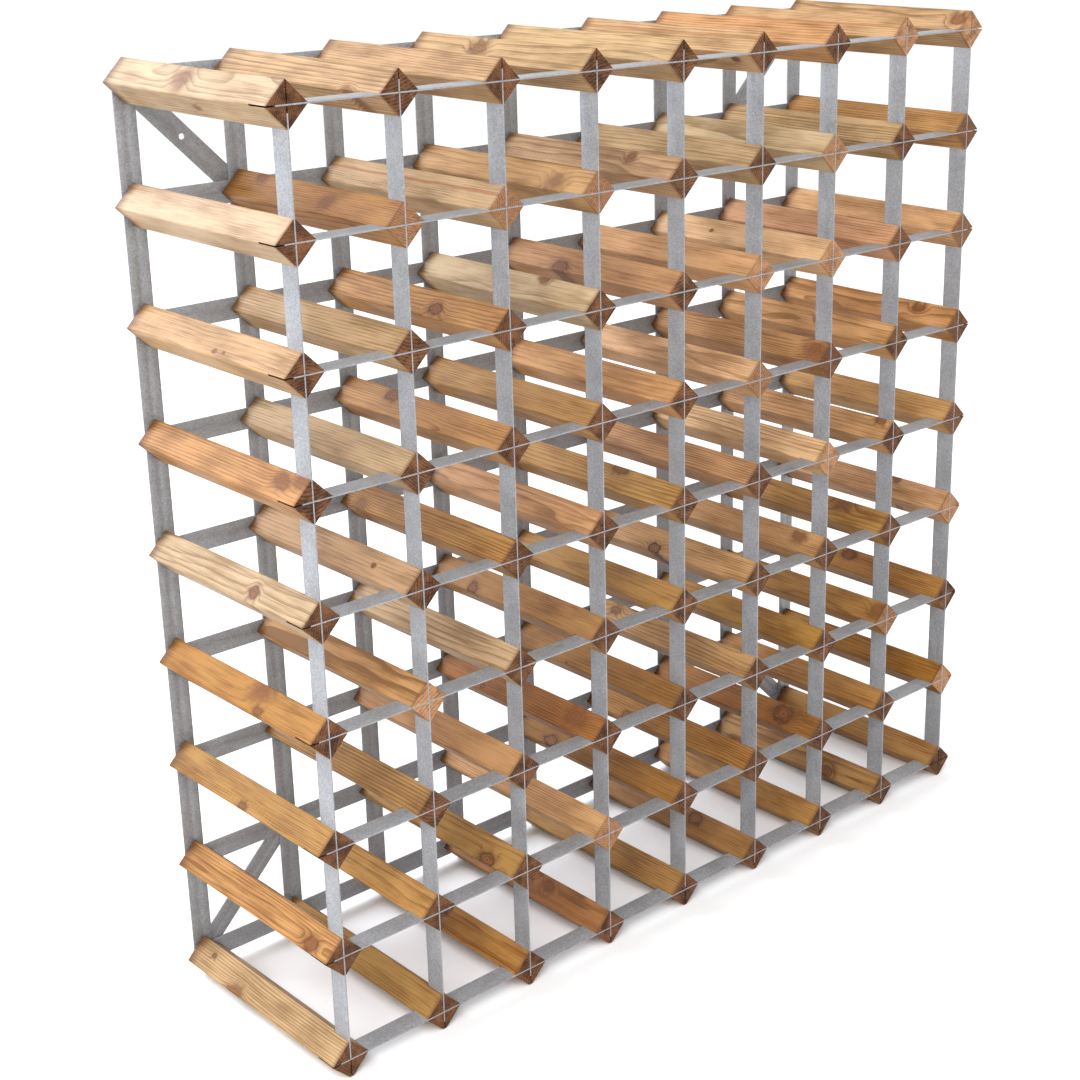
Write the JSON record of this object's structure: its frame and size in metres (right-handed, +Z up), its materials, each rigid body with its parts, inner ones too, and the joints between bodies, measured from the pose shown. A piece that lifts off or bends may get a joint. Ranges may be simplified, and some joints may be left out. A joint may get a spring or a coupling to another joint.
{
  "type": "wine rack",
  "caption": "Free-standing wine rack of square softwood bars set on edge and held in a square grid by flat galvanised steel strips, with a diagonal brace behind each corner.",
  "frame": {"origin": "centre of the footprint, on the floor", "axes": "+Z up, -Y is the front where bottles go in, +X is to the right seen from the front"},
  "size_m": [0.8198, 0.2338, 0.8188],
  "materials": {
    "stained_wood": "stained softwood, satin",
    "galvanised_steel": "hot-dip galvanised, fine spangle"
  },
  "bodies": {
    "root": {"bar_c1_r1": "stained_wood", "bar_c1_r2": "stained_wood", "bar_c1_r3": "stained_wood", "bar_c1_r4": "stained_wood", "bar_c1_r5": "stained_wood", "bar_c1_r6": "stained_wood", "bar_c1_r7": "stained_wood", "bar_c1_r8": "stained_wood", "bar_c1_r9": "stained_wood", "upright_front_c1": "galvanised_steel", "upright_rear_c1": "galvanised_steel", "bar_c9_r1": "stained_wood", "bar_c9_r2": "stained_wood", "bar_c9_r3": "stained_wood", "bar_c9_r4": "stained_wood", "bar_c9_r5": "stained_wood", "bar_c9_r6": "stained_wood", "bar_c9_r7": "stained_wood", "bar_c9_r8": "stained_wood", "bar_c9_r9": "stained_wood", "upright_front_c9": "galvanised_steel", "upright_rear_c9": "galvanised_steel", "ladder_c2": "stained_wood", "ladder_c3": "stained_wood", "ladder_c4": "stained_wood", "ladder_c5": "stained_wood", "ladder_c6": "stained_wood", "ladder_c7": "stained_wood", "ladder_c8": "stained_wood", "rail_front_r1": "galvanised_steel", "rail_rear_r1": "galvanised_steel", "rail_front_r2": "galvanised_steel", "rail_rear_r2": "galvanised_steel", "rail_front_r3": "galvanised_steel", "rail_rear_r3": "galvanised_steel", "rail_front_r4": "galvanised_steel", "rail_rear_r4": "galvanised_steel", "rail_front_r5": "galvanised_steel", "rail_rear_r5": "galvanised_steel", "rail_front_r6": "galvanised_steel", "rail_rear_r6": "galvanised_steel", "rail_front_r7": "galvanised_steel", "rail_rear_r7": "galvanised_steel", "rail_front_r8": "galvanised_steel", "rail_rear_r8": "galvanised_steel", "rail_front_r9": "galvanised_steel", "rail_rear_r9": "galvanised_steel", "brace_top_left": "galvanised_steel", "brace_top_right": "galvanised_steel", "brace_bottom_left": "galvanised_steel", "brace_bottom_right": "galvanised_steel"}
  },
  "joints": []
}
